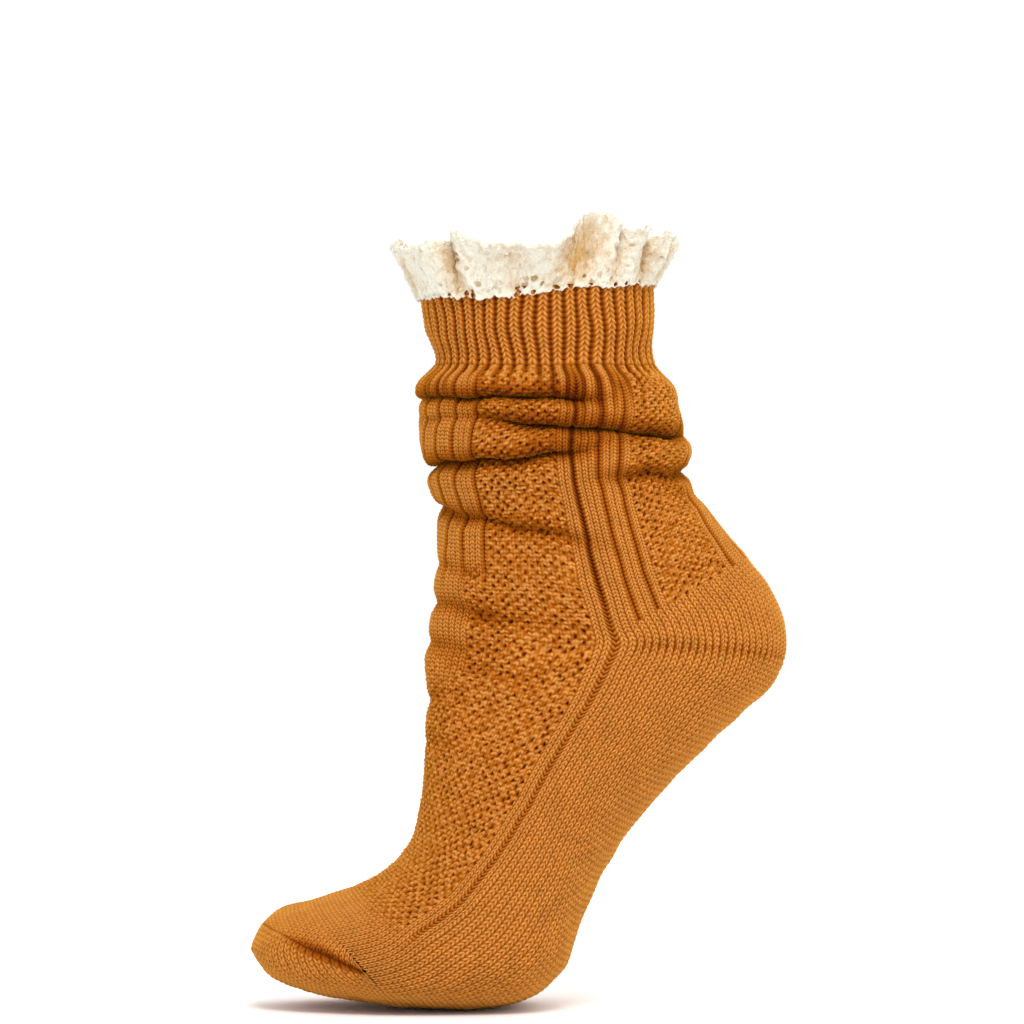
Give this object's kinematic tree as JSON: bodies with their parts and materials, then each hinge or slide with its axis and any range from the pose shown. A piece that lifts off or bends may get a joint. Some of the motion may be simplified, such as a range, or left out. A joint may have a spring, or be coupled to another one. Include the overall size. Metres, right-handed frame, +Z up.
{
  "type": "crew sock with a lace ruffle, worn on a raised foot",
  "caption": "Knitted crew sock with a ribbed cuff, slouched folds, a turned heel and a gathered lace ruffle, in its hollow worn form with the heel raised.",
  "frame": {"origin": "middle of the cuff's top edge, in the leg opening, where the wearer's leg holds the sock up", "axes": "+Z up along the leg, -X towards the toes, Y across the foot"},
  "size_m": [0.1868, 0.0931, 0.2737],
  "materials": {
    "mustard_knit": "matt spun yarn, weft knitted",
    "cream_lace": "matt cotton thread lace"
  },
  "bodies": {
    "root": {"cuff": "mustard_knit", "leg": "mustard_knit", "foot": "mustard_knit", "toe": "mustard_knit", "lace_ruffle": "cream_lace"}
  },
  "joints": []
}
